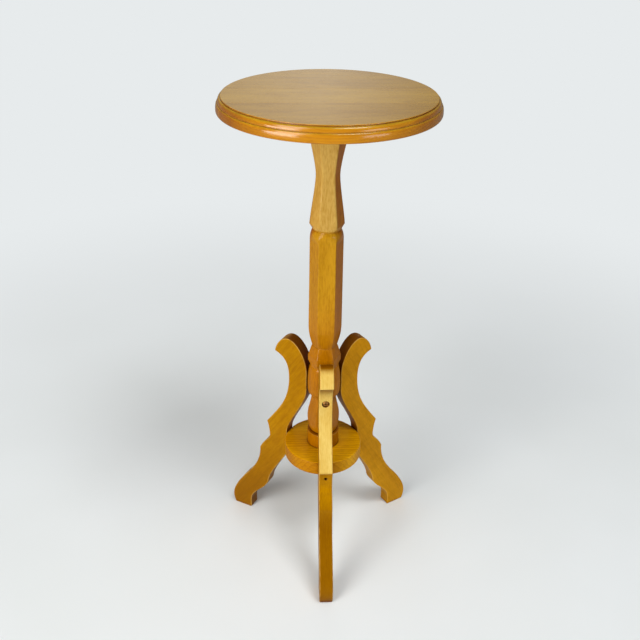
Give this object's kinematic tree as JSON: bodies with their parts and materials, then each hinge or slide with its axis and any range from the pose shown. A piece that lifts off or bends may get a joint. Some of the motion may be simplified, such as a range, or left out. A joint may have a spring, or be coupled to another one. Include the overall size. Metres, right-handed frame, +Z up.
{
  "type": "pedestal stand",
  "caption": "Small round-topped pedestal stand in varnished wood: a moulded top on a faceted turned column, carried by sawn scroll legs screwed to the column and to a round lower disc.",
  "frame": {"origin": "on the floor, under the middle of the stand's bounding box; the column's axis is 10.95 mm behind it, at Y = +0.01095 m", "axes": "+Z is up; the front leg points to -Y; the boards of the top run along X"},
  "size_m": [0.311, 0.327, 0.765],
  "materials": {
    "top_wood_front": "gloss varnish",
    "top_wood_middle": "gloss varnish",
    "top_wood_back": "gloss varnish",
    "column_wood": "gloss varnish",
    "disc_wood": "gloss varnish",
    "leg_wood": "gloss varnish",
    "cleat_wood": "bare, sanded",
    "bronzed_steel": "bronzed, worn",
    "zinced_steel": "zinc plated"
  },
  "bodies": {
    "root": {"top_board_front": "top_wood_front", "top_board_middle": "top_wood_middle", "top_board_back": "top_wood_back", "top_cleat": "cleat_wood", "cleat_screw_right": "zinced_steel", "cleat_screw_back": "zinced_steel", "cleat_screw_left": "zinced_steel", "cleat_screw_front": "zinced_steel", "column": "column_wood", "lower_disc": "disc_wood", "column_washer": "zinced_steel", "column_screw": "zinced_steel", "leg_front": "leg_wood", "leg_right": "leg_wood", "leg_left": "leg_wood", "upper_screw_front": "bronzed_steel", "upper_screw_right": "bronzed_steel", "upper_screw_left": "bronzed_steel", "lower_screw_front": "bronzed_steel", "lower_screw_right": "bronzed_steel", "lower_screw_left": "bronzed_steel"}
  },
  "joints": []
}
